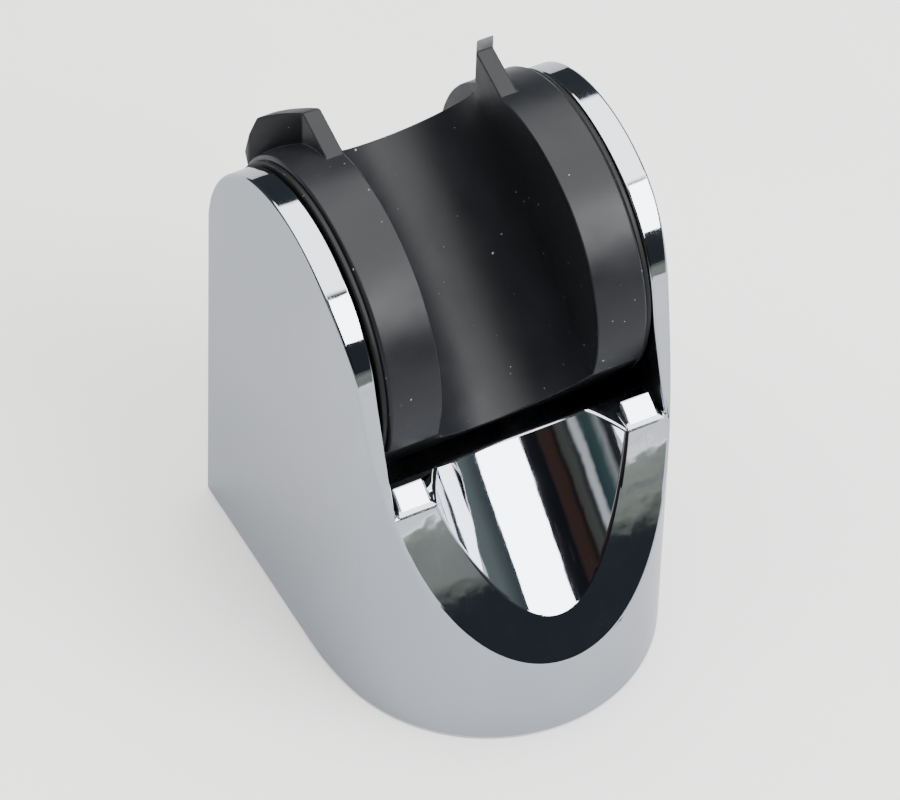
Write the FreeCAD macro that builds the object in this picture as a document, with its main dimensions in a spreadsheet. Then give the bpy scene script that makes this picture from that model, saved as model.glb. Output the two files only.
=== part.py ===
import FreeCAD, Part
import math
import os
import Sketcher

# Swivel wall holder for a hand spray. Millimetres.
# Z = 0 is the wall face and +Z points away from the wall. +Y is the flat top end, -Y the rounded nose,
# and X = 0 is the plane of symmetry. The cradle turns about an axis along X.

doc = FreeCAD.newDocument("handset_holder")

# ---------------------------------------------------------------- driving dimensions

SIZES = {
    # housing
    "housing_width": 50.0,        # across the sides, at the wall
    "nose_reach": 29.0,           # from the start of the rounded nose to its tip
    "nose_turn": 12.7,            # turn of the long side arcs before the tip's tighter arc
    "top_end": 32.9,              # from the start of the nose to the flat top end
    "draft_angle": 0.6,           # of the outer walls
    "nose_height": 13.8,          # of the nose's edge above the wall
    "cheek_inset": 1.0,           # of the cheeks' round tops below the drum's surface
    "slope_start": 166.0,         # where the front slope leaves the cheek's arc, degrees from the top end
    "bay_width": 41.0,            # between the cheeks
    "bay_gap": 2.1,               # between the cradle's drum and the bay's round floor
    "web": 2.4,                   # wall between the bay and the hollow behind it
    "wall": 2.6,                  # top end wall, and the scoop's floor
    "lip_height": 40.0,           # of the bay's front lip
    "nose_wall": 6.5,             # from the nose's tip to the hollow behind it
    "nose_roof": 3.3,             # over that hollow
    "nose_hollow": 28.0,          # width of that hollow
    "hollow_corner": 234.0,       # where the two hollows meet, degrees about the pivot
    # scoop for the hose
    "scoop_radius": 16.5,
    "scoop_angle": 42.0,          # its slope from the wall
    "scoop_exit": 19.1,           # height where its floor meets the front slope
    "scoop_exit_reach": 26.2,     # the same point, measured towards the nose
    "rib_width": 4.9,
    "rib_inset": 0.7,             # from the cheek's inner face
    "rib_rise": 2.4,              # above the lip
    "rib_front": 15.6,            # its lower edge, measured towards the nose
    "rib_depth": 3.2,
    # cradle
    "drum_height": 30.9,          # of the drum's underside above the wall
    "pivot_along": 11.0,          # pivot from the start of the nose, towards the top end
    "drum_radius": 22.5,
    "drum_width": 38.8,
    "drum_chamfer": 0.4,
    "groove_radius": 11.7,
    "groove_angle": 33.0,         # of the groove from the wall
    "groove_offset": 7.25,        # of the groove's axis from the pivot
    "mouth_inset": 1.1,           # depth of the flat at the groove's lower end
    "rear_inset": 2.3,            # depth of the flat at the groove's rear end
    "ear_rise": 4.8,              # of the ears' round tops above the drum's surface
    "ear_thick": 2.6,
    "ear_low": 20.0,              # where its rear end runs into the drum, degrees about the pivot
    "ear_tail": 27.7,             # its low rear corner
    "ear_tail_rise": 2.0,         # of that corner above the drum's surface
    "ear_bend": 45.0,             # where its round top begins
    "ear_high": 61.8,             # its tip
    "ear_flare": 30.0,            # how far its rear turns outwards
    "ear_foot": 75.0,             # where its front edge runs out on the drum
    # pivots
    "pin_radius": 3.0,
    "pin_bury": 6.0,              # length of the pin inside the cradle
    "run_gap": 0.05,              # running clearance on radius
    "bush_radius": 5.4,
    "bush_depth": 2.9,            # of its seat in the cheek
    "ring_thick": 1.5,            # O-ring section
    "disc_thick": 0.8,
    "disc_inset": 0.6,            # of the friction disc's rim below the drum's surface
    "washer_radius": 7.5,
    "washer_thick": 0.5,
    "recess_depth": 0.9,
    "recess_gap": 0.2,            # round the washer
    "pin_end_gap": 0.2,           # from the pin's end to the bottom of its seat
    # yoke and brake
    "yoke_back": 5.0,             # height of the yoke's back face above the wall
    "yoke_thick": 3.0,
    "yoke_length": 31.0,
    "yoke_width": 34.0,
    "tower_radius": 6.6,
    "tower_height": 24.0,         # top of the brake tower above the wall
    "stem_radius": 4.6,
    "shoe_gap": 0.1,
    "shoe_width": 13.0,
    "shoe_length": 10.0,
    "shoe_base": 25.4,            # underside of the shoe's head above the wall
    "lining_thick": 1.6,
    "stem_length": 6.0,
    "plug_length": 4.0,
    "slot_depth": 1.2,            # of the screwdriver slot, and how far the plug is screwed in
    "spring_radius": 3.4,         # to the middle of the wire
    "wire_radius": 0.5,
    "spring_turns": 6.0,
    "screw_radius": 1.45,
    "screw_length": 9.5,
    "screw_head_radius": 2.7,
    "screw_head": 1.8,
    "screw_spread": 26.0,         # between the yoke's screws, across
    "screw_pitch": 25.0,          # between them, along
    "boss_radius": 3.2,
    "arm_gap": 0.1,               # round the yoke's arms in the cheeks' slots
    "arm_drop": 3.0,              # from the pivot down to the arms' tips
    "notch_width": 10.0,          # in the yoke's edge, for the lock nut
    "notch_depth": 3.0,
    # wall plate
    "plate_thick": 2.0,
    "plate_width": 27.0,
    "plate_low": -16.0,           # its lower end
    "plate_gap": 0.6,             # to the housing's top end wall
    "flange_height": 12.0,
    "flange_width": 16.0,
    "hook_width": 12.0,
    "hook_reach": 20.5,           # its tip, measured towards the nose
    "hook_gap": 0.3,
    "ledge_reach": 17.0,          # edge of the housing's ledge under the hook
    "ledge_low": 0.6,
    "ledge_thick": 2.4,
    "slot_width": 5.2,
    "slot_length": 9.0,
    "slot_pitch": 25.0,
    "lock_height": 7.0,           # lock screw above the wall
    "lock_radius": 2.0,
    "lock_length": 6.0,
    "nut_radius": 3.6,            # across its corners
    "nut_thick": 2.2,
}

sheet = doc.addObject("Spreadsheet::Sheet", "sizes")
for row, (alias, value) in enumerate(SIZES.items(), start=1):
    sheet.set("A%d" % row, alias)
    sheet.set("B%d" % row, str(value))
    sheet.setAlias("B%d" % row, alias)
doc.recompute()


class Size:
    """A length or angle that knows its number now and its formula on the sheet."""

    def __init__(self, value, text):
        self.value = float(value)
        self.text = text

    def _join(self, other, sign, value, swap=False):
        other = as_size(other)
        first, second = (other, self) if swap else (self, other)
        return Size(value(first.value, second.value), "(%s %s %s)" % (first.text, sign, second.text))

    def __add__(self, other):
        return self._join(other, "+", lambda a, b: a + b)

    def __sub__(self, other):
        return self._join(other, "-", lambda a, b: a - b)

    def __rsub__(self, other):
        return self._join(other, "-", lambda a, b: a - b, swap=True)

    def __mul__(self, other):
        return self._join(other, "*", lambda a, b: a * b)

    def __truediv__(self, other):
        return self._join(other, "/", lambda a, b: a / b)

    def __neg__(self):
        return Size(-self.value, "(0 - %s)" % self.text)

    __radd__ = __add__
    __rmul__ = __mul__


def as_size(number):
    return number if isinstance(number, Size) else Size(number, repr(float(number)))


def size(alias):
    return Size(sheet.get(alias), "sizes.%s" % alias)


def sine(angle):
    return Size(math.sin(math.radians(angle.value)), "sin(%s)" % angle.text)


def cosine(angle):
    return Size(math.cos(math.radians(angle.value)), "cos(%s)" % angle.text)


def root(number):
    return Size(math.sqrt(number.value), "sqrt(%s)" % number.text)


def bind(thing, **properties):
    """Bind properties to formulas; a double underscore stands for a dot."""
    for name, formula in properties.items():
        thing.setExpression(name.replace("__", "."), as_size(formula).text)


def place(thing, x=0, y=0, z=0, axis=None, angle=0):
    """Give a thing a bound place, turned by angle about axis."""
    if axis is not None:
        thing.Placement.Rotation = FreeCAD.Rotation(FreeCAD.Vector(*axis), as_size(angle).value)
        if isinstance(angle, Size):
            bind(thing, Placement__Rotation__Angle=angle)
    bind(thing, Placement__Base__x=x, Placement__Base__y=y, Placement__Base__z=z)


# ---------------------------------------------------------------- small builders

ALONG_X = ((0, 1, 0), 90)         # turns a shape's own +Z towards +X
ALONG_MINUS_X = ((0, 1, 0), -90)
ALONG_Y = ((1, 0, 0), -90)
SIDES = (("left", ALONG_MINUS_X, -1), ("right", ALONG_X, 1))


def opposite(turn):
    axis, angle = turn
    return axis, -angle


def box(name, low, high):
    """A box between two corners, each three formulas."""
    solid = doc.addObject("Part::Box", name)
    bind(solid, Length=high[0] - as_size(low[0]), Width=high[1] - as_size(low[1]),
         Height=high[2] - as_size(low[2]))
    place(solid, *low)
    return solid


def rod(name, radius, length, start, turn=None):
    """A cylinder from start, along +Z or along the turned direction."""
    solid = doc.addObject("Part::Cylinder", name)
    bind(solid, Radius=radius, Height=length)
    place(solid, *start, *(turn or ()))
    return solid


def ring(name, outer, inner, length, start, turn):
    """A cylinder with a round hole through it."""
    return cut(name, rod(name + "_outer", outer, length, start, turn),
               rod(name + "_inner", inner, length, start, turn))


def fuse(name, *solids):
    whole = doc.addObject("Part::MultiFuse", name)
    whole.Shapes = list(solids)
    whole.Refine = True
    return whole


def cut(name, base, *tools):
    """Base with every tool taken away."""
    taken = tools[0] if len(tools) == 1 else fuse(name + "_taken", *tools)
    whole = doc.addObject("Part::Cut", name)
    whole.Base = base
    whole.Tool = taken
    return whole


def origin_plane(body, role):
    return next(item for item in body.Origin.OriginFeatures if item.Role == role)


def body_sketch(body, name, role):
    sketch = body.newObject("Sketcher::SketchObject", name)
    sketch.AttachmentSupport = (origin_plane(body, role), "")
    sketch.MapMode = "FlatFace"
    return sketch


def about(centre, clockwise=False):
    """In an outline, the step to the next corner goes round this centre."""
    return {"centre": tuple(as_size(item) for item in centre), "clockwise": clockwise}


def hold(sketch, edge, end, corner, letters="xy"):
    """Hold one point of an edge at bound distances from the sketch's origin."""
    for letter, kind, formula in zip("xy", ("DistanceX", "DistanceY"), corner):
        if letter not in letters:
            continue
        index = sketch.addConstraint(Sketcher.Constraint(kind, -1, 1, edge, end, formula.value))
        name = "%s_%d_%d" % (letter, edge, end)
        sketch.renameConstraint(index, name)
        sketch.setExpression("Constraints." + name, formula.text)


def draw(sketch, *path):
    """A closed outline through corners, straight or, after an about(), round a centre.

    A corner that ends an arc is held by one coordinate only, because the arc already has its radius.
    """
    corners = [tuple(as_size(item) for item in step) for step in path if isinstance(step, tuple)]
    bends = {}
    passed = 0
    for step in path:
        if isinstance(step, dict):
            bends[passed - 1] = step
        else:
            passed += 1
    ends = []
    for index, start in enumerate(corners):
        goal = corners[(index + 1) % len(corners)]
        low, high = [FreeCAD.Vector(corner[0].value, corner[1].value, 0) for corner in (start, goal)]
        if index not in bends:
            edge = sketch.addGeometry(Part.LineSegment(low, high), False)
            ends.append((edge, 1, 2))
            continue
        bend = bends[index]
        middle = FreeCAD.Vector(bend["centre"][0].value, bend["centre"][1].value, 0)
        if bend["clockwise"]:
            low, high = high, low
        turns = [math.atan2(point.y - middle.y, point.x - middle.x) for point in (low, high)]
        circle = Part.Circle(middle, FreeCAD.Vector(0, 0, 1), (low - middle).Length)
        edge = sketch.addGeometry(Part.ArcOfCircle(circle, *turns), False)
        ends.append((edge, 2, 1) if bend["clockwise"] else (edge, 1, 2))
        hold(sketch, edge, 3, bend["centre"])
    for index, (edge, start, end) in enumerate(ends):
        before = ends[index - 1]
        arc_ends_here = (index - 1) % len(ends) in bends
        letters = "xy"
        if arc_ends_here:
            centre = bends[(index - 1) % len(ends)]["centre"]
            sideways = abs(corners[index][0].value - centre[0].value)
            upward = abs(corners[index][1].value - centre[1].value)
            letters = "x" if upward > sideways else "y"
        hold(sketch, before[0], before[2], corners[index], letters)
        sketch.addConstraint(Sketcher.Constraint("Coincident", before[0], before[2], edge, start))


def draw_circle(sketch, centre, radius):
    middle = FreeCAD.Vector(as_size(centre[0]).value, as_size(centre[1]).value, 0)
    edge = sketch.addGeometry(Part.Circle(middle, FreeCAD.Vector(0, 0, 1), radius.value), False)
    hold(sketch, edge, 3, tuple(as_size(item) for item in centre))
    index = sketch.addConstraint(Sketcher.Constraint("Radius", edge, radius.value))
    sketch.renameConstraint(index, "radius_%d" % edge)
    sketch.setExpression("Constraints.radius_%d" % edge, radius.text)


def swept_both_ways(body, kind, name, length, *path):
    """A Pad or Pocket of an outline in the plane X = 0, reaching length / 2 to each side."""
    sketch = body_sketch(body, name + "_outline", "YZ_Plane")
    draw(sketch, *path)
    feature = body.newObject("PartDesign::" + kind, name)
    feature.Profile = sketch
    feature.SideType = "Symmetric"
    bind(feature, Length=length)
    return feature


def body_primitive(body, kind, name, start, turn=None, **sizes):
    """An additive or subtractive box or cylinder of a body."""
    feature = body.newObject("PartDesign::" + kind, name)
    bind(feature, **sizes)
    place(feature, *start, *(turn or ()))
    return feature


# ---------------------------------------------------------------- shared places

half_width = size("housing_width") / 2
half_bay = size("bay_width") / 2
pivot_y = size("pivot_along")
pivot_z = size("drum_height") + size("drum_radius")
drum_half = size("drum_width") / 2
bay_radius = size("drum_radius") + size("bay_gap")
cheek_radius = size("drum_radius") - size("cheek_inset")
groove_turn = size("groove_angle")
along_y, along_z = cosine(groove_turn), sine(groove_turn)      # direction of the groove, upwards
out_y, out_z = -sine(groove_turn), cosine(groove_turn)         # out of the groove's mouth
tower_bore = size("stem_radius") + size("shoe_gap")
yoke_top = size("yoke_back") + size("yoke_thick")
FAR = 120.0                                                    # longer than the whole holder

NODES = []                                                     # every sub-part, in order


def sub_part(thing, label):
    thing.Label = label
    NODES.append(thing)
    return thing


def about_pivot(angle, radius):
    """The point at an angle from +Y about the pivot, as (y, z)."""
    return pivot_y + radius * cosine(angle), pivot_z + radius * sine(angle)


def yoke_screw_places():
    """Centres of the yoke's four screws, as (x, y)."""
    across, along = size("screw_spread") / 2, size("screw_pitch") / 2
    return [(across * i, pivot_y + along * j) for i in (-1, 1) for j in (-1, 1)]


# ---------------------------------------------------------------- housing

def make_housing():
    """Chrome-plated shell: one drafted block, shaped from the side, then opened for the cradle."""
    body = doc.addObject("PartDesign::Body", "housing")

    # plan outline: straight sides, long side arcs, a tighter arc round the nose's tip
    reach, turn = size("nose_reach"), size("nose_turn")
    shoulder = (as_size(1) - sine(turn)) / cosine(turn)
    side_radius = (reach - half_width * shoulder) / (sine(turn) - shoulder * (as_size(1) - cosine(turn)))
    tip_radius = (half_width - side_radius * (as_size(1) - cosine(turn))) / cosine(turn)
    side_centre = half_width - side_radius
    tip_centre = tip_radius - reach
    join_x, join_y = tip_radius * cosine(turn), tip_centre - tip_radius * sine(turn)
    plan = body_sketch(body, "plan", "XY_Plane")
    top = size("top_end")
    draw(plan,
         (-half_width, top), (-half_width, 0),
         about((-side_centre, 0)), (-join_x, join_y),
         about((0, tip_centre)), (join_x, join_y),
         about((side_centre, 0)), (half_width, 0),
         (half_width, top))
    block = body.newObject("PartDesign::Pad", "block")
    block.Profile = plan
    bind(block, Length=pivot_z + cheek_radius + 2, TaperAngle=-size("draft_angle"))

    # side profile: round cheek tops, then one hollow curve down to the nose's edge
    cheek, start = cheek_radius, size("slope_start")
    tip_y, tip_z = -reach, size("nose_height")
    across, down = tip_y - pivot_y, tip_z - pivot_z
    lean = cosine(start) * across + sine(start) * down
    hollow_radius = (2 * cheek * lean - cheek * cheek - across * across - down * down) / (2 * (cheek - lean))
    hollow_centre = about_pivot(start, cheek + hollow_radius)
    swept_both_ways(
        body, "Pocket", "side_profile", as_size(FAR),
        (FAR, pivot_z), (pivot_y + cheek, pivot_z),
        about((pivot_y, pivot_z)), about_pivot(start, cheek),
        about(hollow_centre, clockwise=True), (tip_y, tip_z),
        (-FAR, tip_z), (-FAR, FAR), (FAR, FAR))

    # hollows behind the bay and behind the nose, open to the wall; they share one sloping roof
    shell_radius = bay_radius + size("web")
    corner = about_pivot(size("hollow_corner"), shell_radius)
    nose_inner, nose_roof = tip_y + size("nose_wall"), tip_z - size("nose_roof")
    roof_slope = (corner[1] - nose_roof) / (corner[0] - nose_inner)
    front = (nose_inner + corner[0]) * 0.75 - nose_inner * 0.25
    back = top - size("wall")
    swept_both_ways(
        body, "Pocket", "bay_hollow", size("bay_width"),
        (front, -1), (front, nose_roof + (front - nose_inner) * roof_slope), corner,
        about((pivot_y, pivot_z)),
        (back, pivot_z - root(shell_radius * shell_radius - (back - pivot_y) * (back - pivot_y))),
        (back, -1))
    swept_both_ways(
        body, "Pocket", "nose_hollow_cut", size("nose_hollow"),
        (nose_inner, -1), (nose_inner, nose_roof), corner, (corner[0], -1))

    # screw bosses reach up into the web, and the bay trims their tops
    for number, (x, y) in enumerate(yoke_screw_places(), start=1):
        body_primitive(body, "AdditiveCylinder", "boss_%d" % number, (x, y, yoke_top),
                       Radius=size("boss_radius"), Height=pivot_z - bay_radius + size("boss_radius"))

    # bay for the cradle, with its level front lip
    lip = size("lip_height")
    lip_y = pivot_y - root(bay_radius * bay_radius - (pivot_z - lip) * (pivot_z - lip))
    swept_both_ways(
        body, "Pocket", "bay", size("bay_width"),
        (-FAR, lip), (lip_y, lip),
        about((pivot_y, pivot_z)), (pivot_y + bay_radius, pivot_z),
        (pivot_y + bay_radius, FAR), (-FAR, FAR))

    # two small ribs on the lip, each with a sloping face; the scoop runs between them
    rib_front, rib_rear = -size("rib_front"), size("rib_depth") - size("rib_front")
    rise, rib_x = size("rib_rise"), half_bay - size("rib_inset") - size("rib_width")
    swept_both_ways(
        body, "Pad", "rib_band", 2 * (rib_x + size("rib_width")),
        (rib_front, lip - rise), (rib_rear, lip - rise), (rib_rear, lip + rise), (rib_front, lip))
    body_primitive(body, "SubtractiveBox", "between_ribs", (-rib_x, rib_front - 1, lip),
                   Length=2 * rib_x, Width=size("rib_depth") + 2, Height=2 * rise)

    # scoop for the hose: a slanting round channel that runs out in the bay
    scoop, scoop_turn = size("scoop_radius"), size("scoop_angle")
    scoop_y, scoop_z = -size("scoop_exit_reach"), size("scoop_exit")
    before = size("housing_width") / 2
    body_primitive(
        body, "SubtractiveCylinder", "scoop_cut",
        (0, scoop_y - scoop * sine(scoop_turn) - before * cosine(scoop_turn),
         scoop_z + scoop * cosine(scoop_turn) - before * sine(scoop_turn)),
        ((-1, 0, 0), 90 - scoop_turn),
        Radius=scoop, Height=before + size("nose_reach"))

    # slots in the cheeks, open to the wall side, that take the bushes and the yoke's arms
    bush = size("bush_radius")
    seat = half_bay + size("bush_depth")
    body_primitive(body, "SubtractiveBox", "cheek_slots", (-seat, pivot_y - bush, -1),
                   Length=2 * seat, Width=2 * bush, Height=size("yoke_back") + size("yoke_thick") + 1)
    for side, x in (("left", -seat), ("right", half_bay)):
        body_primitive(body, "SubtractiveBox", side + "_slot", (x, pivot_y - bush, 0),
                       Length=size("bush_depth"), Width=2 * bush, Height=pivot_z)
    for side, x in (("left", -seat), ("right", half_bay)):
        body_primitive(body, "SubtractiveCylinder", side + "_seat", (x, pivot_y, pivot_z), ALONG_X,
                       Radius=bush, Height=size("bush_depth"))

    # window in the web that guides the brake shoe, pilot holes and the lock screw's hole
    shoe_x = size("shoe_width") / 2 + size("shoe_gap")
    shoe_y = size("shoe_length") / 2 + size("shoe_gap")
    body_primitive(body, "SubtractiveBox", "shoe_window", (-shoe_x, pivot_y - shoe_y, size("tower_height")),
                   Length=2 * shoe_x, Width=2 * shoe_y, Height=pivot_z - size("tower_height"))
    for number, (x, y) in enumerate(yoke_screw_places(), start=1):
        body_primitive(body, "SubtractiveCylinder", "pilot_%d" % number, (x, y, size("yoke_back")),
                       Radius=size("screw_radius"), Height=size("screw_length") + 1)
    body_primitive(body, "SubtractiveCylinder", "lock_hole", (0, back - 1, size("lock_height")), ALONG_Y,
                   Radius=size("lock_radius"), Height=size("wall") + 2)

    # ledge in the nose that slips under the wall plate's hook
    body_primitive(
        body, "AdditiveBox", "ledge", (-size("nose_hollow") / 2 - 1, nose_inner - 1, size("ledge_low")),
        Length=size("nose_hollow") + 2, Width=-size("ledge_reach") - nose_inner + 1,
        Height=size("ledge_thick"))
    sub_part(body, "housing")


# ---------------------------------------------------------------- cradle

def make_cradle():
    """Black drum with the tilted groove, two ears, and bores for the pins. Drawn about the pivot."""
    body = doc.addObject("PartDesign::Body", "cradle")
    body.AllowCompound = True
    radius, groove, lift = size("drum_radius"), size("groove_radius"), size("groove_offset")

    # ears: a band round the pivot, cut in plan to two thin walls that flare outwards at the rear
    ear, thick = radius + size("ear_rise"), size("ear_thick")
    low, tail, bend = size("ear_low"), size("ear_tail"), size("ear_bend")
    high, foot = size("ear_high"), size("ear_foot")
    inside, tail_radius = radius - thick, radius + size("ear_tail_rise")
    swept_both_ways(
        body, "Pad", "ear_band", size("drum_width") - 4 * size("drum_chamfer"),
        (inside * cosine(low), inside * sine(low)),
        (tail_radius * cosine(tail), tail_radius * sine(tail)),
        (ear * cosine(bend), ear * sine(bend)),
        about((0, 0)), (ear * cosine(high), ear * sine(high)),
        (radius * cosine(foot), radius * sine(foot)), (inside * cosine(foot), inside * sine(foot)))
    turn_y, end_y = ear * cosine(high), ear + 2
    flare = (end_y - turn_y) * sine(size("ear_flare")) / cosine(size("ear_flare"))
    plan = body_sketch(body, "ear_plan", "XY_Plane")
    draw(plan, (-groove, -1), (groove, -1), (groove, turn_y), (groove + flare, end_y),
         (-groove - flare, end_y), (-groove, turn_y))
    outer = groove + thick
    draw(plan, (outer, -1), (FAR, -1), (FAR, end_y), (outer + flare, end_y), (outer, turn_y))
    draw(plan, (-outer, -1), (-outer, turn_y), (-outer - flare, end_y), (-FAR, end_y), (-FAR, -1))
    ears = body.newObject("PartDesign::Pocket", "ears")
    ears.Profile = plan
    ears.SideType = "Symmetric"
    bind(ears, Length=as_size(FAR))

    outline = body_sketch(body, "drum_outline", "YZ_Plane")
    draw_circle(outline, (0, 0), radius)
    drum = body.newObject("PartDesign::Pad", "drum")
    drum.Profile = outline
    drum.SideType = "Symmetric"
    bind(drum, Length=size("drum_width"))
    doc.recompute()
    chamfer = body.newObject("PartDesign::Chamfer", "end_chamfers")
    rims = [number for number, edge in enumerate(drum.Shape.Edges, start=1) if len(edge.Vertexes) == 1]
    chamfer.Base = (drum, ["Edge%d" % number for number in rims])
    bind(chamfer, Size=size("drum_chamfer"))

    # groove: a round floor with parallel walls, and the flat at its lower end
    axis_y, axis_z = lift * out_y, lift * out_z
    upright = ((-1, 0, 0), 90 - groove_turn)
    half = FAR / 2
    body_primitive(body, "SubtractiveCylinder", "groove_floor",
                   (0, axis_y - half * along_y, axis_z - half * along_z), upright,
                   Radius=groove, Height=as_size(FAR))
    body_primitive(body, "SubtractiveBox", "groove_walls",
                   (-groove, axis_y + half * out_y - half * along_y, axis_z + half * out_z - half * along_z),
                   upright, Length=2 * groove, Width=as_size(half), Height=as_size(FAR))
    mouth = radius - size("mouth_inset") + half
    body_primitive(body, "SubtractiveBox", "mouth_flat",
                   (-half, half * out_y - mouth * along_y, half * out_z - mouth * along_z),
                   upright, Length=as_size(FAR), Width=as_size(FAR), Height=as_size(half))
    rear = radius - size("rear_inset")
    body_primitive(body, "SubtractiveBox", "rear_flat",
                   (-groove, half * out_y + rear * along_y, half * out_z + rear * along_z),
                   upright, Length=2 * groove, Width=as_size(FAR), Height=as_size(half))

    # recesses for the wave washers, and bores for the pins
    for side, turn, sign in SIDES:
        body_primitive(body, "SubtractiveCylinder", side + "_recess", (sign * drum_half, 0, 0),
                       opposite(turn), Radius=size("washer_radius") + size("recess_gap"),
                       Height=size("recess_depth"))
        body_primitive(body, "SubtractiveCylinder", side + "_pin_bore", (sign * drum_half, 0, 0),
                       opposite(turn), Radius=size("pin_radius"), Height=size("pin_bury"))
    sub_part(body, "cradle")
    place(body, 0, pivot_y, pivot_z)


# ---------------------------------------------------------------- pivots

def make_pivots():
    """For each side: the pin, disc and washer of the cradle, and the bush and O-ring in the cheek."""
    pin, bore = size("pin_radius"), size("pin_radius") + size("run_gap")
    bush, depth, thick = size("bush_radius"), size("bush_depth"), size("ring_thick")
    pin_start = drum_half - size("pin_bury")
    for side, turn, sign in SIDES:
        def at(x):
            return sign * x, pivot_y, pivot_z

        sub_part(rod(side + "_pivot_pin", pin, half_bay + depth - size("pin_end_gap") - pin_start,
                     at(pin_start), turn), side + "_pivot_pin")
        sub_part(ring(side + "_friction_disc", size("drum_radius") - size("disc_inset"), bore,
                      size("disc_thick"), at(drum_half), turn), side + "_friction_disc")
        sub_part(ring(side + "_wave_washer", size("washer_radius"), bore, size("washer_thick"),
                      at(drum_half - size("recess_depth")), turn), side + "_wave_washer")

        ring_seat = bore + thick
        whole = ring(side + "_bush_body", bush, bore, depth, at(half_bay), turn)
        sub_part(cut(side + "_bearing_bush", whole,
                     rod(side + "_ring_seat", ring_seat, thick, at(half_bay), turn)),
                 side + "_bearing_bush")

        o_ring = doc.addObject("Part::Torus", side + "_pin_o_ring")
        bind(o_ring, Radius1=bore + thick / 2, Radius2=thick / 2)
        place(o_ring, *at(half_bay + thick / 2), *turn)
        sub_part(o_ring, side + "_pin_o_ring")


# ---------------------------------------------------------------- yoke

def make_yoke():
    """Plate behind the bay with two arms that hold the bushes, and the tower that guides the brake."""
    back, gap = size("yoke_back"), size("arm_gap")
    long_half, wide_half = size("yoke_length") / 2, size("yoke_width") / 2
    arm_half = size("bush_radius") - gap
    arm_in, arm_out = half_bay + gap, half_bay + size("bush_depth") - gap
    arm_top = pivot_z - size("arm_drop")
    pieces = [
        box("yoke_plate", (-wide_half, pivot_y - long_half, back),
            (wide_half, pivot_y + long_half, yoke_top)),
        box("yoke_bar", (-arm_out, pivot_y - arm_half, back), (arm_out, pivot_y + arm_half, yoke_top)),
        rod("tower", size("tower_radius"), size("tower_height") - back, (0, pivot_y, back)),
        box("left_arm", (-arm_out, pivot_y - arm_half, back), (-arm_in, pivot_y + arm_half, arm_top)),
        box("right_arm", (arm_in, pivot_y - arm_half, back), (arm_out, pivot_y + arm_half, arm_top)),
    ]
    tools = [
        rod("tower_bore", tower_bore, size("tower_height"), (0, pivot_y, 0)),
        rod("bush_seats", size("bush_radius"), 2 * arm_out, (-arm_out, pivot_y, pivot_z), ALONG_X),
        box("nut_notch", (-size("notch_width") / 2, pivot_y + long_half - size("notch_depth"), 0),
            (size("notch_width") / 2, pivot_y + long_half + 1, yoke_top + 1)),
    ]
    for number, (x, y) in enumerate(yoke_screw_places(), start=1):
        tools.append(rod("yoke_hole_%d" % number, size("screw_radius") + gap, yoke_top, (x, y, 0)))
    sub_part(cut("cradle_yoke", fuse("yoke_whole", *pieces), *tools), "cradle_yoke")


def make_yoke_screws():
    """Four self-tapping screws with cross slots, kept as one group of separate solids."""
    back, head, radius = size("yoke_back"), size("screw_head"), size("screw_head_radius")
    slot = radius / 4
    screws = []
    for number, (x, y) in enumerate(yoke_screw_places(), start=1):
        name = "yoke_screw_%d" % number
        shank = rod(name + "_shank", size("screw_radius"), size("screw_length") + head / 2,
                    (x, y, back - head / 2))
        top = rod(name + "_head", radius, head, (x, y, back - head))
        low, high = back - head, back - head / 2
        first = box(name + "_slot_a", (x - radius, y - slot / 2, low), (x + radius, y + slot / 2, high))
        second = box(name + "_slot_b", (x - slot / 2, y - radius, low), (x + slot / 2, y + radius, high))
        screws.append(cut(name, fuse(name + "_whole", shank, top), first, second))
    group = doc.addObject("Part::Compound", "yoke_screws")
    group.Links = screws
    sub_part(group, "yoke_screws")


# ---------------------------------------------------------------- brake

def make_brake():
    """Sprung shoe that presses up on the drum, with its lining, spring and adjusting screw."""
    width, length, base = size("shoe_width") / 2, size("shoe_length") / 2, size("shoe_base")
    face = pivot_z - size("drum_radius") - size("shoe_gap")
    lining_base = face - size("lining_thick")
    stem_end = base - size("stem_length")
    head = box("shoe_head", (-width, pivot_y - length, base), (width, pivot_y + length, lining_base))
    stem = rod("shoe_stem", size("stem_radius"), size("stem_length") + 1, (0, pivot_y, stem_end))
    sub_part(fuse("brake_shoe", head, stem), "brake_shoe")

    pad = box("lining_block", (-width, pivot_y - length, lining_base),
              (width, pivot_y + length, face + size("lining_thick")))
    drum_space = rod("drum_space", size("drum_radius") + size("shoe_gap"), size("shoe_width"),
                     (-width, pivot_y, pivot_z), ALONG_X)
    sub_part(cut("shoe_lining", pad, drum_space), "shoe_lining")

    plug_top = size("yoke_back") + size("plug_length") + size("slot_depth")
    plug = rod("plug", tower_bore, size("plug_length"), (0, pivot_y, plug_top - size("plug_length")))
    slot_half = size("slot_depth") / 2
    groove = box("plug_slot", (-tower_bore, pivot_y - slot_half, 0),
                 (tower_bore, pivot_y + slot_half, plug_top - size("plug_length") + size("slot_depth")))
    sub_part(cut("preload_screw", plug, groove), "preload_screw")

    wire = size("wire_radius")
    coil = doc.addObject("Part::Helix", "coil")
    bind(coil, Radius=size("spring_radius"), Height=stem_end - plug_top - 2 * wire,
         Pitch=(stem_end - plug_top - 2 * wire) / size("spring_turns"))
    place(coil, 0, pivot_y, plug_top + wire)
    section = doc.addObject("Part::Circle", "wire_section")
    bind(section, Radius=wire)
    place(section, size("spring_radius"), pivot_y, plug_top + wire, (1, 0, 0), 90)
    spring = doc.addObject("Part::Sweep", "brake_spring")
    spring.Sections = [section]
    spring.Spine = (coil, ["Edge1"])
    spring.Solid = True
    spring.Frenet = True
    sub_part(spring, "brake_spring")


# ---------------------------------------------------------------- wall plate

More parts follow.
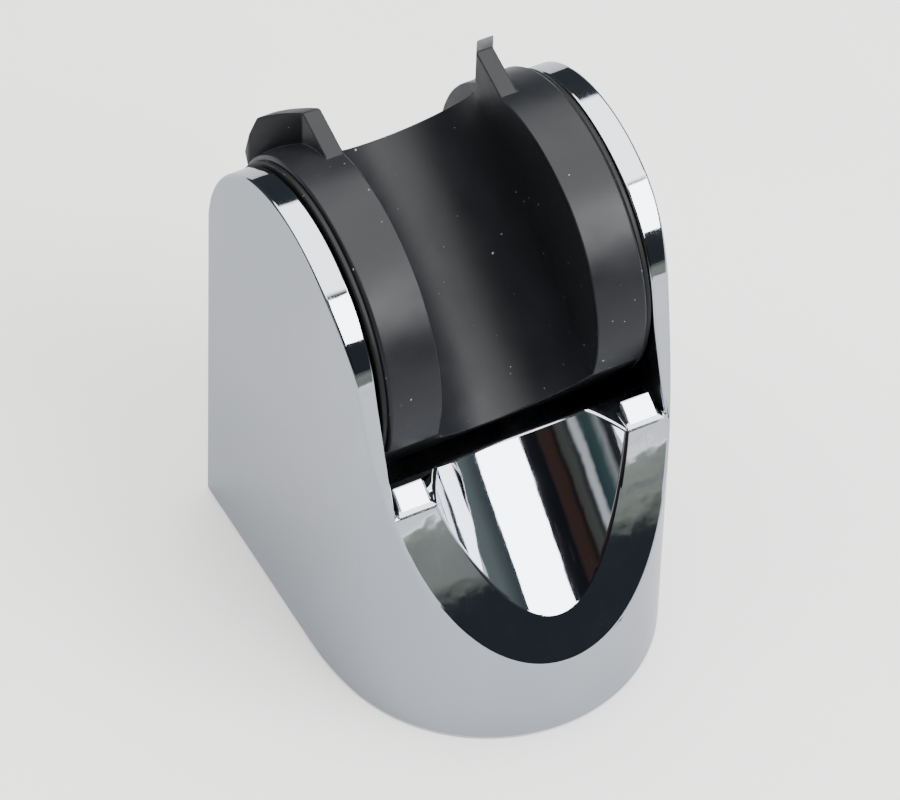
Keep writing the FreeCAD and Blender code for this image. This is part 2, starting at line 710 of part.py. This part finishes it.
def make_wall_plate():
    """Slotted steel plate with a hook for the housing's ledge and a flange for the lock screw."""
    thick, half = size("plate_thick"), size("plate_width") / 2
    low, high = size("plate_low"), size("top_end") - size("wall") - size("plate_gap")
    hook_half, hook_base = size("hook_width") / 2, size("ledge_low") + size("ledge_thick") + size("hook_gap")
    flange_half, flange = size("flange_width") / 2, size("flange_height")
    pieces = [
        box("plate_sheet", (-half, low, 0), (half, high, thick)),
        box("hook_riser", (-hook_half, low, 0), (hook_half, low + thick, hook_base + thick)),
        box("hook_tongue", (-hook_half, -size("hook_reach"), hook_base),
            (hook_half, low + thick, hook_base + thick)),
        box("flange", (-flange_half, high - thick, 0), (flange_half, high, flange)),
    ]
    middle = (low + high) / 2
    slot_half = size("slot_width") / 2
    straight = size("slot_length") - size("slot_width")
    tools = []
    for number, step in enumerate((-0.5, 0.5), start=1):
        centre = middle + size("slot_pitch") * step
        name = "wall_slot_%d" % number
        tools.append(box(name, (-slot_half, centre - straight / 2, -1),
                         (slot_half, centre + straight / 2, thick + 1)))
        for end, turn in (("_low", -0.5), ("_high", 0.5)):
            tools.append(rod(name + end, slot_half, thick + 2, (0, centre + straight * turn, -1)))
    tools.append(rod("flange_hole", size("lock_radius"), 2 * thick,
                     (0, high - 1.5 * thick, size("lock_height")), ALONG_Y))
    sub_part(cut("wall_plate", fuse("plate_whole", *pieces), *tools), "wall_plate")

    nut_thick = size("nut_thick")
    place_of_nut = (0, high - thick - nut_thick, size("lock_height"))
    nut = doc.addObject("Part::Prism", "nut_block")
    nut.Polygon = 6
    bind(nut, Circumradius=size("nut_radius"), Height=nut_thick)
    place(nut, *place_of_nut, *ALONG_Y)
    bore = rod("nut_bore", size("lock_radius"), nut_thick, place_of_nut, ALONG_Y)
    sub_part(cut("lock_nut", nut, bore), "lock_nut")

    screw_start = high - thick - nut_thick
    screw = rod("lock_screw_body", size("lock_radius"), size("lock_length"),
                (0, screw_start, size("lock_height")), ALONG_Y)
    socket = doc.addObject("Part::Prism", "lock_socket")
    socket.Polygon = 6
    bind(socket, Circumradius=size("lock_radius") / 2, Height=size("lock_radius"))
    place(socket, 0, screw_start + size("lock_length") - size("lock_radius"), size("lock_height"), *ALONG_Y)
    sub_part(cut("lock_screw", screw, socket), "lock_screw")


# ---------------------------------------------------------------- build, check and write

make_housing()
make_cradle()
make_pivots()
make_yoke()
make_yoke_screws()
make_brake()
make_wall_plate()
doc.recompute()

for thing in doc.Objects:
    for fault in ("Invalid", "Error"):
        if fault in thing.State:
            raise RuntimeError("%s is in state %s" % (thing.Name, fault))
for part in NODES:
    if part.Shape.isNull() or not part.Shape.isValid():
        raise RuntimeError("%s has no sound shape" % part.Label)

os.makedirs("parts", exist_ok=True)
for part in NODES:
    part.Shape.exportStep("parts/%s.step" % part.Label)
print("%d sub-parts written" % len(NODES))
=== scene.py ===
# %% [markdown]
# # Swivel handset holder, dressed in Blender
#
# The real object is a wall bracket for a hand spray. It has a bright chrome-plated shell, and between its
# two cheeks sits a black nylon cradle that tilts. The engineering model already fixes every size, so this
# lesson only adds what the eye wants: softly rounded edges, true finishes, a table and studio light.

# %% Load the fixed frame
import math

import bmesh
import bpy
from mathutils import Matrix, Vector


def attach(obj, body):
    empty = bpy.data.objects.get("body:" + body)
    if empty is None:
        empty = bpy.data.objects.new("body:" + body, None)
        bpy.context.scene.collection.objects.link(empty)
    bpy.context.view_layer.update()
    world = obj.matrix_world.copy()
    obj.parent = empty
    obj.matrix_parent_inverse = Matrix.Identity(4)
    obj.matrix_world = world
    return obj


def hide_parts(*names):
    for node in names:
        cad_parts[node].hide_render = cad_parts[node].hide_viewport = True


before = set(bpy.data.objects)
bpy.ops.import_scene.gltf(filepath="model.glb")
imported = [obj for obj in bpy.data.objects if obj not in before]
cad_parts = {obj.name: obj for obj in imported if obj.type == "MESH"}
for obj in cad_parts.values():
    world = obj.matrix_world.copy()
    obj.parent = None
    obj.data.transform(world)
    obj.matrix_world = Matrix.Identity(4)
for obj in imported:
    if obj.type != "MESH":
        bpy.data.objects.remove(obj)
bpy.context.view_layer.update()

MM = 0.001

# %% [markdown]
# ## Two small helpers
# Hex colours are how people write paint and plastic colours, but shaders want linear light, so one function
# turns the first into the second. The other adds one shader node, sets it and plugs it in.

# %% Colour and node helpers
def linear(hex_colour):
    """An sRGB hex colour as linear red, green, blue and full alpha."""
    parts = [int(hex_colour[i:i + 2], 16) / 255 for i in (1, 3, 5)]
    return [c / 12.92 if c <= 0.04045 else ((c + 0.055) / 1.055) ** 2.4 for c in parts] + [1.0]


def add_node(tree, kind, links=None, values=None, **settings):
    """Add one node, apply its settings, set socket values and link named inputs to other sockets."""
    node = tree.nodes.new(kind)
    for name, value in settings.items():
        setattr(node, name, value)
    for socket, value in (values or {}).items():
        node.inputs[socket].default_value = value
    for socket, source in (links or {}).items():
        tree.links.new(source, node.inputs[socket])
    return node


def new_material(name, **shader_values):
    """A material with its Principled shader set, as (material, node tree, shader, object coordinates)."""
    material = bpy.data.materials.new(name)
    material.use_nodes = True
    tree = material.node_tree
    shader = tree.nodes["Principled BSDF"]
    for socket, value in shader_values.items():
        shader.inputs[socket.replace("_", " ")].default_value = value
    place = add_node(tree, "ShaderNodeTexCoord").outputs["Object"]
    return material, tree, shader, place


def noise(tree, place, grain_mm, detail=3.0, rough=0.5, stretch=(1, 1, 1)):
    """Noise whose blobs are about grain_mm across, stretched along an axis where that factor is small."""
    mapped = add_node(tree, "ShaderNodeMapping", {"Vector": place}, {"Scale": stretch})
    return add_node(tree, "ShaderNodeTexNoise", {"Vector": mapped.outputs["Vector"]},
                    {"Scale": 1 / (grain_mm * MM), "Detail": detail, "Roughness": rough}).outputs["Fac"]


def spread(tree, factor, low, high, start=0.3, end=0.7):
    """Stretch a 0 to 1 pattern between start and end to the range low to high."""
    return add_node(tree, "ShaderNodeMapRange", {"Value": factor},
                    {"From Min": start, "From Max": end, "To Min": low, "To Max": high}).outputs["Result"]


def bump(tree, shader, height, depth_mm, strength=1.0):
    """Let a height pattern tilt the surface by up to depth_mm."""
    node = add_node(tree, "ShaderNodeBump", {"Height": height},
                    {"Distance": depth_mm * MM, "Strength": strength})
    tree.links.new(node.outputs["Normal"], shader.inputs["Normal"])
    return node


# %% [markdown]
# ## Chrome plating on ABS
# Plated plastic is a true mirror, but the moulding under it is never quite flat: large soft waves bend the
# reflections, and wiping leaves hair-fine scratches. So the metal is nearly smooth, with slow bump and
# sparse scratches that only change the roughness.

# %% Chrome-plated ABS
def chrome_plated_abs():
    """Bright mirror with soft moulding waves and faint wiping scratches."""
    material, tree, shader, place = new_material(
        "chrome_plated_abs", Metallic=1.0, Base_Color=linear("#b4b7bd"), Roughness=0.05)
    waves = noise(tree, place, 9, detail=3.0, rough=0.4)
    wipes = noise(tree, place, 0.35, detail=4.0, stretch=(1, 0.06, 0.06))
    patches = noise(tree, place, 9, detail=2.0)
    fine = spread(tree, wipes, 0.0, 0.07, 0.58, 0.8)
    worn = spread(tree, patches, 0.035, 0.075)
    rough = add_node(tree, "ShaderNodeMath", {0: fine, 1: worn}, operation="ADD")
    tree.links.new(rough.outputs[0], shader.inputs["Roughness"])
    bump(tree, shader, waves, 0.09)
    return material


def shaded_bay_plating():
    """Dark, patchy metal for the deep bay: painted shade for the black drum mirrored there and the shade
    under it. How dark is a guess.
    """
    material, tree, shader, place = new_material(
        "painted_shade_bay_plating", Metallic=1.0, Base_Color=linear("#4a4d52"))
    patches = noise(tree, place, 3, detail=4.0)
    tree.links.new(spread(tree, patches, 0.25, 0.45), shader.inputs["Roughness"])
    bump(tree, shader, noise(tree, place, 0.3), 0.015, 0.5)
    return material


CHROME = chrome_plated_abs()
# The second metal is painted shade: dark metal for the bay, where the chrome only mirrors the black drum.
BAY_SHADE_PLATING = shaded_bay_plating()
print("plating:", CHROME.name, "and", BAY_SHADE_PLATING.name)

# %% [markdown]
# ## Black nylon
# The cradle is moulded nylon with a fine spark-eroded texture. It is almost black, with a wide soft sheen,
# and it picks up pale dust. Fine noise gives the texture, and a thresholded noise gives the dust specks.

# %% Satin black nylon
def satin_black_nylon(name, colour, roughness):
    """Near-black moulded plastic with fine texture and a few pale dust specks."""
    material, tree, shader, place = new_material(
        name, Roughness=roughness, IOR=1.53, Specular_IOR_Level=0.21, Base_Color=linear(colour))
    tone = noise(tree, place, 6, detail=3.0)
    specks = noise(tree, place, 0.5, detail=0.0)
    dust = spread(tree, specks, 0.0, 1.0, 0.86, 0.9)
    base = add_node(tree, "ShaderNodeMix", {"Factor": tone}, data_type="RGBA")
    base.inputs[6].default_value = linear(colour)
    base.inputs[7].default_value = [channel * 1.5 for channel in linear(colour)[:3]] + [1.0]
    dusted = add_node(tree, "ShaderNodeMix", {"Factor": dust}, data_type="RGBA")
    tree.links.new(base.outputs[2], dusted.inputs[6])
    dusted.inputs[7].default_value = linear("#8a8c90")
    tree.links.new(dusted.outputs[2], shader.inputs["Base Color"])
    shine = spread(tree, tone, roughness - 0.05, roughness + 0.08)
    tree.links.new(shine, shader.inputs["Roughness"])
    bump(tree, shader, noise(tree, place, 0.18, detail=2.0), 0.012, 0.6)
    return material


CRADLE_BLACK = satin_black_nylon("satin_black_nylon", "#141518", 0.36)
RING_BLACK = satin_black_nylon("dull_black_friction_plastic", "#0c0c0d", 0.5)
print("black plastics:", CRADLE_BLACK.name, "and", RING_BLACK.name)

# %% [markdown]
# ## Finishes of the hidden parts
# Most of these are seen only from the back or when the holder is taken apart, but each is a real finish:
# turned metal has fine rings, zinc plating has a cloudy spangle, and moulded plastic a soft uneven sheen.

# %% Metals and plastics inside
def cloudy_metal(name, colour, roughness, grain_mm, stretch=(1, 1, 1)):
    """Metal whose sheen varies in grains of the given size, drawn out where stretch is small."""
    material, tree, shader, place = new_material(name, Metallic=1.0, Base_Color=linear(colour))
    grain = noise(tree, place, grain_mm, detail=4.0, stretch=stretch)
    tree.links.new(spread(tree, grain, roughness * 0.6, roughness * 1.4), shader.inputs["Roughness"])
    bump(tree, shader, grain, 0.01, 0.5)
    return material


def moulded_plastic(name, colour, roughness, grain_mm=0.4):
    """Plastic with a faint tone change and a fine moulded texture."""
    material, tree, shader, place = new_material(name, Roughness=roughness)
    tone = noise(tree, place, 5, detail=2.0)
    mix = add_node(tree, "ShaderNodeMix", {"Factor": tone}, data_type="RGBA")
    mix.inputs[6].default_value = linear(colour)
    mix.inputs[7].default_value = [channel * 0.82 for channel in linear(colour)[:3]] + [1.0]
    tree.links.new(mix.outputs[2], shader.inputs["Base Color"])
    bump(tree, shader, noise(tree, place, grain_mm), 0.02, 0.5)
    return material


STAINLESS = cloudy_metal("turned_stainless_steel", "#b9b9b6", 0.25, 0.3, (8, 1, 1))
SPRING_STEEL = cloudy_metal("polished_spring_steel", "#a3a6ac", 0.22, 0.6)
ZINC = cloudy_metal("bright_zinc_plate", "#b4bac4", 0.32, 1.5)
BRASS = cloudy_metal("turned_brass", "#c9a057", 0.28, 0.3)
BLACK_STEEL = cloudy_metal("blackened_steel", "#2c2c2e", 0.4, 0.5)
ACETAL = moulded_plastic("natural_acetal", "#e2dfd4", 0.35)
YOKE_NYLON = moulded_plastic("glass_filled_nylon", "#4a4d50", 0.55, 0.25)
LINING = moulded_plastic("friction_lining", "#5a3c30", 0.8, 0.5)
RUBBER = moulded_plastic("nitrile_rubber", "#161616", 0.6)

FINISHES = {
    "pivot_pin": STAINLESS, "wave_washer": SPRING_STEEL, "brake_spring": SPRING_STEEL,
    "wall_plate": ZINC, "yoke_screws": ZINC, "preload_screw": BRASS, "lock_nut": BRASS,
    "lock_screw": BLACK_STEEL, "bearing_bush": ACETAL, "brake_shoe": ACETAL, "cradle_yoke": YOKE_NYLON,
    "shoe_lining": LINING, "pin_o_ring": RUBBER,
}
for name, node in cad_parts.items():
    finish = next((m for key, m in FINISHES.items() if name.endswith(key)), None)
    if finish is not None:
        node.data.materials.clear()
        node.data.materials.append(finish)
print(len(FINISHES), "finishes for the parts that stay as engineered")


# %% [markdown]
# ## Soft edges for the shell, the cradle and the rings
# The engineered solids have knife edges, and real plated plastic never has: the plating rounds every corner
# and catches a thin line of light. Rebuilding the shapes would risk changing sizes. So each piece starts
# as a merged copy of its solid, flat neighbours are joined again, and only the sharp edges are bevelled.
#
# A mirror shows every kink of the flat facets under it. The big round faces are known exactly from the
# engineered sizes: the scoop, the cheeks' tops, the hollow slope, the bay and the drum. So first come tests
# that tell whether a point lies on one of them, and which way that face looks.

# %% Round faces of the engineered model
ACROSS = (1, 0, 0)
PIVOT = Vector((0, 11, 53.4)) * MM
DRUM_RADIUS, BAY_RADIUS, CHEEK_RADIUS = 22.5, 24.6, 21.5
DRUM_HALF, BAY_HALF, CHEEK_INSIDE, CHEEK_OUTSIDE = 19.1, 20.6, 20.4, 30
SLOPE_CENTRE, SLOPE_RADIUS = Vector((0, -158.8, 95.7)) * MM, 153.5
SCOOP_RADIUS, SCOOP_TURN = 16.5, math.radians(42)
SCOOP_EXIT = Vector((0, -26.2, 19.1)) * MM
SCOOP_AXIS = Vector((0, math.cos(SCOOP_TURN), math.sin(SCOOP_TURN)))
SCOOP_OUT = Vector((0, -math.sin(SCOOP_TURN), math.cos(SCOOP_TURN)))
ON_FACE = 0.03              # a point this near to a round face, in mm, counts as on it
ANY_WIDTH = (0, 100)


def round_about(point, axis, radius_mm, from_middle_mm=ANY_WIDTH):
    """Give a test for a round face about an axis: it returns the way out from the axis, or nothing."""
    axis = Vector(axis).normalized()
    near, far = from_middle_mm

    def test(spot):
        arm = spot - point
        arm -= axis * arm.dot(axis)
        on_it = abs(arm.length - radius_mm * MM) < ON_FACE * MM
        return arm.normalized() if on_it and near * MM <= abs(spot.x) <= far * MM else None
    return test


ROUND_FACES = (
    round_about(SCOOP_EXIT + SCOOP_OUT * SCOOP_RADIUS * MM, SCOOP_AXIS, SCOOP_RADIUS),
    round_about(PIVOT, ACROSS, CHEEK_RADIUS, (CHEEK_INSIDE, CHEEK_OUTSIDE)),
    round_about(SLOPE_CENTRE, ACROSS, SLOPE_RADIUS),
    round_about(PIVOT, ACROSS, BAY_RADIUS, (0, BAY_HALF)),
    round_about(PIVOT, ACROSS, DRUM_RADIUS, (0, DRUM_HALF)),
)
print(len(ROUND_FACES), "kinds of round face to follow")

# %% [markdown]
# Then each corner of the mesh gets its normal. Most corners take an average of the faces round them, where
# big faces count for more. A corner on a round face takes that face's own direction instead, as long as it
# is close to the average or to the facet, so that a wall that only touches the round face keeps its own.

# %% Normals that follow the round faces
LIKE_AVERAGE, LIKE_FACET = 0.92, 0.97


def true_normals(mesh):
    """Average the normals by area, then follow the round surface that each face's corner lies on."""
    summed = [Vector() for vertex in mesh.vertices]
    for face in mesh.polygons:
        for index in face.vertices:
            summed[index] += face.normal * face.area
    on_round = []
    for vertex in mesh.vertices:
        found = [test(vertex.co) for test in ROUND_FACES]
        on_round.append([outward for outward in found if outward is not None])
    corner_normals, followed = [], 0
    for face in mesh.polygons:
        for index in face.vertices:
            chosen = average = summed[index].normalized()
            for guide, likeness in ((average, LIKE_AVERAGE), (face.normal, LIKE_FACET)):
                for outward in on_round[index]:
                    if abs(outward.dot(guide)) > likeness:
                        likeness = abs(outward.dot(guide))
                        chosen = outward if outward.dot(guide) > 0 else -outward
            followed += chosen is not average
            corner_normals.append(chosen)
    mesh.normals_split_custom_set(corner_normals)
    return followed


# %% [markdown]
# Last comes the copy itself. The brake shoe slides in a close window under the drum, out of sight, so the
# window's corners stay sharp and every other sharp edge is rounded.

# %% Copy a solid and round its edges
MERGE_MM = 0.002
FLAT_DEGREES, SHARP_DEGREES = 0.3, 20
WINDOW_HALF_X, WINDOW_HALF_Y, WINDOW_LOW, WINDOW_HIGH = 7, 5.5, 20, 31


def beside_shoe(edge):
    """Is the edge on the window that guides the brake shoe?"""
    middle = (edge.verts[0].co + edge.verts[1].co) / (2 * MM)
    in_plan = abs(middle.x) < WINDOW_HALF_X and abs(middle.y - PIVOT.y / MM) < WINDOW_HALF_Y
    return in_plan and WINDOW_LOW < middle.z < WINDOW_HIGH


def soft_edged(node_name, piece_name, width_mm, material, body):
    """A copy of an engineered node with every sharp edge bevelled by width_mm."""
    bm = bmesh.new()
    bm.from_mesh(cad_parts[node_name].data)
    bmesh.ops.remove_doubles(bm, verts=bm.verts, dist=MERGE_MM * MM)
    bmesh.ops.dissolve_limit(bm, angle_limit=math.radians(FLAT_DEGREES), verts=bm.verts, edges=bm.edges)
    sharp = [edge for edge in bm.edges
             if edge.calc_face_angle(0) > math.radians(SHARP_DEGREES) and not beside_shoe(edge)]
    bmesh.ops.bevel(bm, geom=sharp, offset=width_mm * MM, offset_type="OFFSET", segments=3,
                    profile=0.5, affect="EDGES", material=-1, clamp_overlap=False)
    mesh = bpy.data.meshes.new(piece_name)
    bm.to_mesh(mesh)
    bm.free()
    mesh.shade_smooth()
    piece = bpy.data.objects.new(piece_name, mesh)
    bpy.context.scene.collection.objects.link(piece)
    mesh.materials.clear()
    mesh.materials.append(material)
    followed = true_normals(mesh)
    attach(piece, body)
    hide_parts(node_name)
    print(piece_name, "has", len(mesh.polygons), "faces,", len(sharp), "rounded edges and",
          followed, "corners that follow a round surface")
    return piece


shell = soft_edged("housing", "chrome_shell_skin", 0.45, CHROME, "holder")
soft_edged("cradle", "black_cradle_skin", 0.25, CRADLE_BLACK, "cradle")
for side in ("left", "right"):
    soft_edged(side + "_friction_disc", side + "_friction_ring", 0.25, RING_BLACK, "cradle")

# %% [markdown]
# The floor of the bay gets a dark, dull metal: painted shade for the black drum mirrored there and the shade
# under it. How dark it is there is a guess, and it also keeps bright reflections from running round under
# the drum. The faces are those of the shell between the cheeks and no further from the pivot than the floor.

# %% Painted shade plating in the bay
BAY_MIDDLE, BAY_MARGIN = 20.5, 0.2
# The bay floor gets painted shade: dark metal in place of the black drum's reflection and the shade under
# it.
shell.data.materials.append(BAY_SHADE_PLATING)
inside = 0
for face in shell.data.polygons:
    from_pivot = (face.center - PIVOT).yz.length
    if abs(face.center.x) < BAY_MIDDLE * MM and from_pivot < (BAY_RADIUS + BAY_MARGIN) * MM:
        face.material_index = 1
        inside += 1
print(inside, "faces of the bay are thinly plated")

# %% [markdown]
# ## Table, light and camera
# A product like this is shot on white card under a big soft light. Chrome shows only what surrounds it, so
# the room matters as much as the lamps: a pale table and ceiling, with darker room behind the camera.

# %% Table
TABLE_HALF = 3.0


def white_card():
    """Matt white card with a very faint mottle."""
    material, tree, shader, place = new_material("white_card", Roughness=0.75, Base_Color=linear("#e9e8e6"))
    mottle = noise(tree, place, 40, detail=4.0)
    mix = add_node(tree, "ShaderNodeMix", {"Factor": mottle}, data_type="RGBA")
    mix.inputs[6].default_value = linear("#eceae8")
    mix.inputs[7].default_value = linear("#e4e3e2")
    tree.links.new(mix.outputs[2], shader.inputs["Base Color"])
    return material


bm = bmesh.new()
bmesh.ops.create_grid(bm, x_segments=1, y_segments=1, size=TABLE_HALF)
mesh = bpy.data.meshes.new("table")
bm.to_mesh(mesh)
bm.free()
mesh.materials.append(white_card())
table = bpy.data.objects.new("table", mesh)
bpy.context.scene.collection.objects.link(table)
print("table", 2 * TABLE_HALF, "m wide")

# %% [markdown]
# The room is a world shader read by direction. Its low band is a ring of dark room tones with a few pale
# and brown patches, and they turn into the long streaks in the mirror. Above it is a bright
# ceiling, which comes lower at the back. A big window stands to the front right as a real lamp.

# %% Room light
ROOM_BAND = (
    (-180, "#4a5256"), (-150, "#565c60"), (-110, "#6c7174"), (-92, "#36373a"), (-80, "#3c3d40"),
    (-76, "#b4b8b4"), (-71, "#4c6466"), (-63, "#3f5558"), (-60, "#f4f6f6"), (-56, "#f4f6f6"),
    (-53, "#303236"), (-48, "#60605c"), (-42, "#5a5a56"), (-39, "#262327"), (-34, "#4a3834"),
    (-22, "#4c3a36"), (-18, "#222228"), (8, "#24272e"), (12, "#30343c"), (60, "#535b60"),
    (74, "#7e8b89"), (100, "#8c9291"), (130, "#5c6366"), (160, "#3c444a"), (180, "#4a5256"),
)
CEILING_START, CEILING_SOFT, CEILING_TILT = 0.74, 0.015, 0.15
CEILING_STRENGTH = 5.5

world = bpy.data.worlds.new("studio")
world.use_nodes = True
bpy.context.scene.world = world
room = world.node_tree
direction = add_node(room, "ShaderNodeTexCoord").outputs["Generated"]
along = add_node(room, "ShaderNodeSeparateXYZ", {"Vector": direction}).outputs
toward_nose = add_node(room, "ShaderNodeMath", {0: along["Y"]}, {1: -1.0}, operation="MULTIPLY")
angle = add_node(room, "ShaderNodeMath", {0: along["X"], 1: toward_nose.outputs[0]}, operation="ARCTAN2")
turn = add_node(room, "ShaderNodeMapRange", {"Value": angle.outputs[0]},
                {"From Min": -math.pi, "From Max": math.pi})
band = add_node(room, "ShaderNodeValToRGB", {"Fac": turn.outputs["Result"]})
stops = band.color_ramp.elements
while len(stops) < len(ROOM_BAND):
    stops.new(0.5)
for stop, (degrees, tone) in zip(stops, ROOM_BAND):
    stop.position = 0.5 + degrees / 360
    stop.color = linear(tone)
lift = add_node(room, "ShaderNodeMath", {0: along["Y"], 2: along["Z"]}, {1: CEILING_TILT},
                operation="MULTIPLY_ADD")
ceiling = add_node(room, "ShaderNodeMapRange", {"Value": lift.outputs[0]},
                   {"From Min": CEILING_START - CEILING_SOFT, "From Max": CEILING_START + CEILING_SOFT})
sky = add_node(room, "ShaderNodeMix", {"Factor": ceiling.outputs["Result"], 6: band.outputs["Color"]},
               {7: [CEILING_STRENGTH, CEILING_STRENGTH, CEILING_STRENGTH * 0.985, 1.0]}, data_type="RGBA")
room.links.new(sky.outputs[2], room.nodes["Background"].inputs["Color"])


def soft_box(name, place, aim, width, length, watts, colour="#ffffff"):
    """A rectangular lamp at a place in metres, aimed at a point."""
    light = bpy.data.lights.new(name, "AREA")
    light.shape = "RECTANGLE"
    light.size, light.size_y = width, length
    light.energy = watts
    light.color = linear(colour)[:3]
    lamp = bpy.data.objects.new(name, light)
    lamp.matrix_world = Matrix.Translation(place) @ (
        (Vector(aim) - Vector(place)).to_track_quat("-Z", "Y").to_matrix().to_4x4())
    bpy.context.scene.collection.objects.link(lamp)
    return lamp


def toward(turn_degrees, rise_degrees, distance):
    """A point at a turn from the nose's direction towards the right, and a rise above the table."""
    turn_angle, rise = math.radians(turn_degrees), math.radians(rise_degrees)
    return Vector((math.sin(turn_angle) * math.cos(rise), -math.cos(turn_angle) * math.cos(rise),
                   math.sin(rise))) * distance


MIDDLE = (0, 0, 0.035)
WINDOW_TURN, WINDOW_RISE, WINDOW_AWAY = 33, 39, 1.2
window = soft_box("window", toward(WINDOW_TURN, WINDOW_RISE, WINDOW_AWAY), MIDDLE, 0.92, 0.64, 25)
print("window lamp of", window.data.energy, "W")

# %% [markdown]
# Past the front edge of the table the room is dark, and the sloping face of the chrome looks that way. Two
# cards lie there that only mirror rays can see, so they shade nothing else: a dark one in front, and a grey
# one, a painted shade of the table round the holder, that keeps the chrome's upright walls darker than the
# table.

# %% Dark room in front of the table
def mirror_card(name, low, high, height, colour, other_colour):
    """A flat card seen in reflections only."""
    bm = bmesh.new()
    bmesh.ops.create_grid(bm, x_segments=1, y_segments=1, size=0.5)
    bmesh.ops.scale(bm, vec=(high[0] - low[0], high[1] - low[1], 1), verts=bm.verts)
    bmesh.ops.translate(bm, vec=((low[0] + high[0]) / 2, (low[1] + high[1]) / 2, height), verts=bm.verts)
    mesh = bpy.data.meshes.new(name)
    bm.to_mesh(mesh)
    bm.free()
    material, tree, shader, place = new_material(name + "_cloth", Roughness=0.9)
    blotches = noise(tree, place, 60, detail=3.0)
    mix = add_node(tree, "ShaderNodeMix", {"Factor": spread(tree, blotches, 0.0, 1.0)}, data_type="RGBA")
    mix.inputs[6].default_value = linear(colour)
    mix.inputs[7].default_value = linear(other_colour)
    tree.links.new(mix.outputs[2], shader.inputs["Base Color"])
    mesh.materials.append(material)
    card = bpy.data.objects.new(name, mesh)
    card.visible_camera = False
    card.visible_diffuse = False
    card.visible_shadow = False
    bpy.context.scene.collection.objects.link(card)
    return card


TABLE_FRONT = -0.28
mirror_card("dark_room", (-TABLE_HALF, -TABLE_HALF), (TABLE_HALF, TABLE_FRONT), 0.002,
            "#15181e", "#4c5446")
# The grey card is painted shade: a shaded grey copy of the white table, seen only in the chrome.
mirror_card("shaded_table", (-TABLE_HALF, TABLE_FRONT), (TABLE_HALF, TABLE_HALF), 0.0005,
            "#a4a6aa", "#b2b3b6")
print("two mirror cards meet", TABLE_FRONT, "m from the start of the nose")

# %% [markdown]
# A long lens looks down on the holder from the front left, tipped by two degrees as a hand-held camera is.

# %% Camera
CAMERA_AZIMUTH, CAMERA_ELEVATION, CAMERA_ROLL = -30.11, 47.74, 2.007
CAMERA_DISTANCE = 674.1 * MM
LENS_MM, SENSOR_MM = 197.0, 36.0
AIM_HEIGHT, AIM_RIGHT, AIM_UP = 30 * MM, -3.37 * MM, 5.34 * MM

azimuth, elevation = math.radians(CAMERA_AZIMUTH), math.radians(CAMERA_ELEVATION)
back = Vector((math.sin(azimuth) * math.cos(elevation), -math.cos(azimuth) * math.cos(elevation),
               math.sin(elevation)))
roll = Matrix.Rotation(math.radians(CAMERA_ROLL), 4, "Z")
level = back.to_track_quat("Z", "Y").to_matrix().to_4x4() @ roll
right, up = level.col[0].to_3d(), level.col[1].to_3d()
centre = Vector((0, 0, AIM_HEIGHT))
eye = centre + CAMERA_DISTANCE * back
aim = centre + AIM_RIGHT * right + AIM_UP * up
data = bpy.data.cameras.new("camera")
data.lens, data.sensor_width = LENS_MM, SENSOR_MM
camera = bpy.data.objects.new("camera", data)
facing = (eye - aim).to_track_quat("Z", "Y").to_matrix().to_4x4()
camera.matrix_world = Matrix.Translation(eye) @ facing @ roll
bpy.context.scene.collection.objects.link(camera)
bpy.context.scene.camera = camera
print("camera", round((eye - aim).length * 1000), "mm from the holder")
